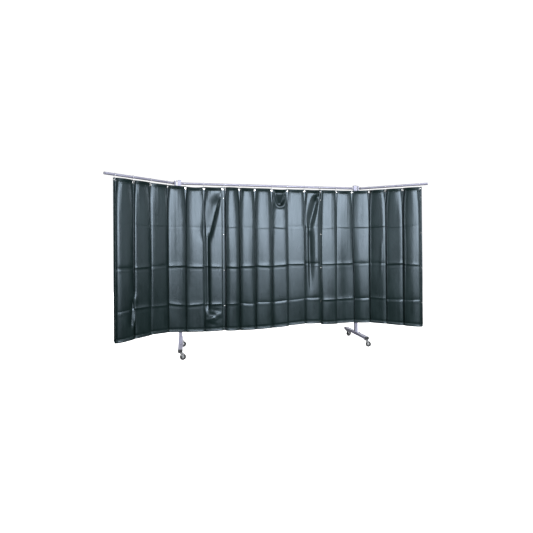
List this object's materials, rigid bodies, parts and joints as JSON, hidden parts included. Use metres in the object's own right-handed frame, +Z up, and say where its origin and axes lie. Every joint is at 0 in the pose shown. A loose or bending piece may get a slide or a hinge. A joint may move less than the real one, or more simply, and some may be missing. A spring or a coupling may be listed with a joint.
{
  "type": "welding curtain screen",
  "caption": "Castered triptych screen: a main rail on two footed uprights, a hinged arm rail at each end, and dark green PVC curtains hung on wire hooks.",
  "frame": {"origin": "on the floor, under the middle of the screen's outline with its arms at rest", "axes": "+X along the main rail, +Z up, -Y towards the side that the arms stand forward to"},
  "size_m": [3.5534, 0.7752, 1.9503],
  "materials": {
    "tube_steel": "satin zinc-plated tube",
    "bright_zinc": "bright zinc-plated wire, bolts and casters",
    "black_plastic": "moulded matt",
    "tyre": "matt rubber",
    "curtain_pvc": "semi-gloss soft PVC sheet"
  },
  "bodies": {
    "frame": {"main_rail_left": "tube_steel", "main_rail_right": "tube_steel", "rail_joining_sleeve": "tube_steel", "upright_left": "tube_steel", "upright_cap_left": "black_plastic", "crossbar_left": "tube_steel", "hinge_bracket_left": "tube_steel", "hinge_pin_left": "bright_zinc", "crossbar_plug_left_front": "black_plastic", "foot_bolt_left_front": "bright_zinc", "caster_stem_left_front": "bright_zinc", "crossbar_plug_left_back": "black_plastic", "foot_bolt_left_back": "bright_zinc", "caster_stem_left_back": "bright_zinc", "upright_right": "tube_steel", "upright_cap_right": "black_plastic", "crossbar_right": "tube_steel", "hinge_bracket_right": "tube_steel", "hinge_pin_right": "bright_zinc", "crossbar_plug_right_front": "black_plastic", "foot_bolt_right_front": "bright_zinc", "caster_stem_right_front": "bright_zinc", "crossbar_plug_right_back": "black_plastic", "foot_bolt_right_back": "bright_zinc", "caster_stem_right_back": "bright_zinc", "left_curtain_on_frame": "curtain_pvc", "right_curtain_on_frame": "curtain_pvc", "middle_curtain_fixed_panel": "curtain_pvc", "curtain_hook_1": "bright_zinc"},
    "left_arm": {"arm_knuckle_left": "tube_steel", "arm_rail_left": "tube_steel", "arm_plug_left": "black_plastic", "left_curtain_on_arm": "curtain_pvc"},
    "right_arm": {"arm_knuckle_right": "tube_steel", "arm_rail_right": "tube_steel", "arm_plug_right": "black_plastic", "right_curtain_on_arm": "curtain_pvc"},
    "caster_left_front": {"caster_fork_left_front": "bright_zinc", "caster_axle_left_front": "bright_zinc"},
    "wheel_left_front": {"caster_wheel_left_front": "tyre"},
    "brake_left_front": {"brake_pedal_left_front": "bright_zinc"},
    "caster_left_back": {"caster_fork_left_back": "bright_zinc", "caster_axle_left_back": "bright_zinc"},
    "wheel_left_back": {"caster_wheel_left_back": "tyre"},
    "caster_right_front": {"caster_fork_right_front": "bright_zinc", "caster_axle_right_front": "bright_zinc"},
    "wheel_right_front": {"caster_wheel_right_front": "tyre"},
    "brake_right_front": {"brake_pedal_right_front": "bright_zinc"},
    "caster_right_back": {"caster_fork_right_back": "bright_zinc", "caster_axle_right_back": "bright_zinc"},
    "wheel_right_back": {"caster_wheel_right_back": "tyre"},
    "leading_hook": {"curtain_hook_7": "bright_zinc", "middle_curtain_leading_panel": "curtain_pvc"},
    "sliding_hook_2": {"curtain_hook_2": "bright_zinc"},
    "sliding_hook_3": {"curtain_hook_3": "bright_zinc"},
    "sliding_hook_4": {"curtain_hook_4": "bright_zinc", "middle_curtain_middle_panel": "curtain_pvc"},
    "sliding_hook_5": {"curtain_hook_5": "bright_zinc"},
    "sliding_hook_6": {"curtain_hook_6": "bright_zinc"}
  },
  "joints": [
    {"name": "left_arm_swing", "type": "hinge", "parent": "frame", "child": "left_arm", "pos_m": [-1.118, 0.0963, 1.915], "axis": [0, 0, 1], "range_deg": [-36, 64]},
    {"name": "right_arm_swing", "type": "hinge", "parent": "frame", "child": "right_arm", "pos_m": [1.118, 0.0963, 1.915], "axis": [0, 0, -1], "range_deg": [-36, 64]},
    {"name": "swivel_left_front", "type": "hinge", "parent": "frame", "child": "caster_left_front", "pos_m": [-1.07, -0.16368, 0.086], "axis": [0, 0, 1], "continuous": true},
    {"name": "wheel_spin_left_front", "type": "hinge", "parent": "caster_left_front", "child": "wheel_left_front", "pos_m": [-1.04215, -0.16076, 0.0325], "axis": [-0.1045, 0.9945, 0], "continuous": true},
    {"name": "brake_press_left_front", "type": "hinge", "parent": "caster_left_front", "child": "brake_left_front", "pos_m": [-1.03917, -0.16044, 0.07], "axis": [-0.1045, 0.9945, 0], "range_deg": [0, 15]},
    {"name": "swivel_left_back", "type": "hinge", "parent": "frame", "child": "caster_left_back", "pos_m": [-1.07, 0.35629, 0.086], "axis": [0, 0, 1], "continuous": true},
    {"name": "wheel_spin_left_back", "type": "hinge", "parent": "caster_left_back", "child": "wheel_left_back", "pos_m": [-1.04235, 0.35191, 0.0325], "axis": [0.1564, 0.9877, 0], "continuous": true},
    {"name": "swivel_right_front", "type": "hinge", "parent": "frame", "child": "caster_right_front", "pos_m": [1.07, -0.16368, 0.086], "axis": [0, 0, 1], "continuous": true},
    {"name": "wheel_spin_right_front", "type": "hinge", "parent": "caster_right_front", "child": "wheel_right_front", "pos_m": [1.09558, -0.17507, 0.0325], "axis": [0.4067, 0.9135, 0], "continuous": true},
    {"name": "brake_press_right_front", "type": "hinge", "parent": "caster_right_front", "child": "brake_right_front", "pos_m": [1.09832, -0.17629, 0.07], "axis": [0.4067, 0.9135, 0], "range_deg": [0, 15]},
    {"name": "swivel_right_back", "type": "hinge", "parent": "frame", "child": "caster_right_back", "pos_m": [1.07, 0.35629, 0.086], "axis": [0, 0, 1], "continuous": true},
    {"name": "wheel_spin_right_back", "type": "hinge", "parent": "caster_right_back", "child": "wheel_right_back", "pos_m": [1.09757, 0.36115, 0.0325], "axis": [-0.1736, 0.9848, 0], "continuous": true},
    {"name": "curtain_draw", "type": "slide", "parent": "frame", "child": "leading_hook", "axis": [-1, 0, 0], "range_m": [0, 0.775]},
    {"name": "hook_slide_2", "type": "slide", "parent": "frame", "child": "sliding_hook_2", "axis": [-1, 0, 0], "range_m": [0, 0.11339]},
    {"name": "hook_slide_3", "type": "slide", "parent": "frame", "child": "sliding_hook_3", "axis": [-1, 0, 0], "range_m": [0, 0.236]},
    {"name": "hook_slide_4", "type": "slide", "parent": "frame", "child": "sliding_hook_4", "axis": [-1, 0, 0], "range_m": [0, 0.37061]},
    {"name": "hook_slide_5", "type": "slide", "parent": "frame", "child": "sliding_hook_5", "axis": [-1, 0, 0], "range_m": [0, 0.49989]},
    {"name": "hook_slide_6", "type": "slide", "parent": "frame", "child": "sliding_hook_6", "axis": [-1, 0, 0], "range_m": [0, 0.64383]}
  ],
  "couplings": [
    {"joint": "hook_slide_2", "follows": "curtain_draw", "ratio": 0.14617},
    {"joint": "hook_slide_3", "follows": "curtain_draw", "ratio": 0.30439},
    {"joint": "hook_slide_4", "follows": "curtain_draw", "ratio": 0.47807},
    {"joint": "hook_slide_5", "follows": "curtain_draw", "ratio": 0.64488},
    {"joint": "hook_slide_6", "follows": "curtain_draw", "ratio": 0.83061}
  ]
}
